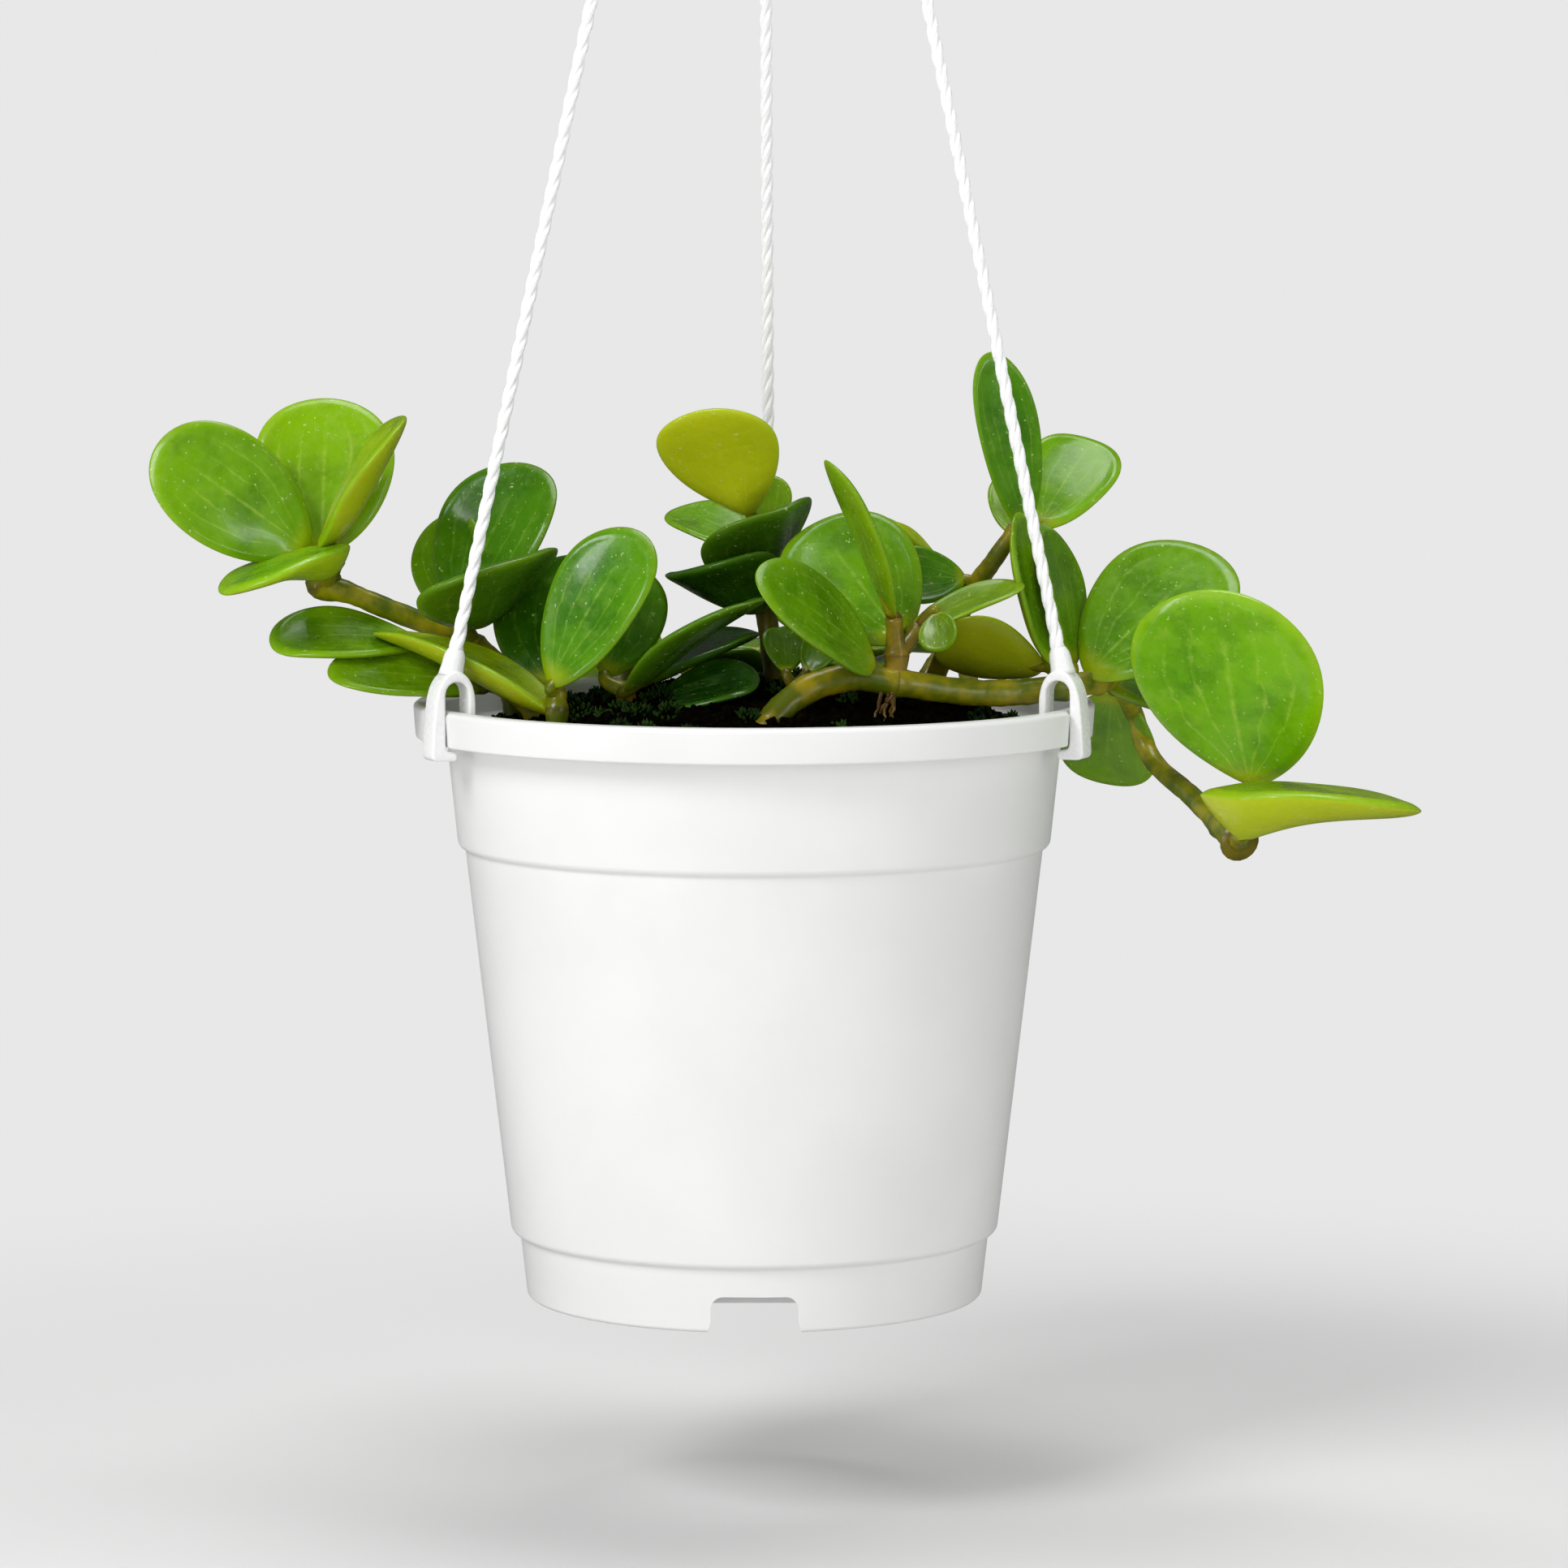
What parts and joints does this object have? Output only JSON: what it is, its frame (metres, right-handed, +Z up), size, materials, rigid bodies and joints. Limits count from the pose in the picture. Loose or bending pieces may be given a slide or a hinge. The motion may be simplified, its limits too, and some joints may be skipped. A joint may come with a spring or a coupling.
{
  "type": "trailing houseplant in a hanging pot",
  "caption": "Trailing succulent houseplant with thick round leaves in a white plastic pot that hangs from three twisted strands and a hook.",
  "frame": {"origin": "the point where the hook's inner curve rests on the rail it hangs on", "axes": "+Z up, front of the pot as pictured along -Y, +X to the right in the picture"},
  "size_m": [0.2194, 0.1488, 0.3962],
  "materials": {
    "white_plastic": "satin moulded white plastic",
    "strand_white": "white twisted three-ply plastic-fibre cord",
    "potting_mix": "dark crumbly potting mix with moss",
    "foliage": "glossy fleshy green leaves and stems"
  },
  "bodies": {
    "root": {"pot": "white_plastic", "hook": "white_plastic", "clip_left": "white_plastic", "clip_right": "white_plastic", "clip_back": "white_plastic", "strand_left": "strand_white", "strand_right": "strand_white", "strand_back": "strand_white", "potting_mix": "potting_mix", "stem_left": "foliage", "stem_low_left": "foliage", "stem_front_left": "foliage", "stem_front_middle": "foliage", "stem_centre": "foliage", "stem_main": "foliage", "sprig_front": "foliage", "stem_right": "foliage", "stem_back_left": "foliage", "stem_back_right": "foliage", "stem_back_middle": "foliage", "trailing_stem_back_left": "foliage", "trailing_stem_back_right": "foliage"}
  },
  "joints": []
}
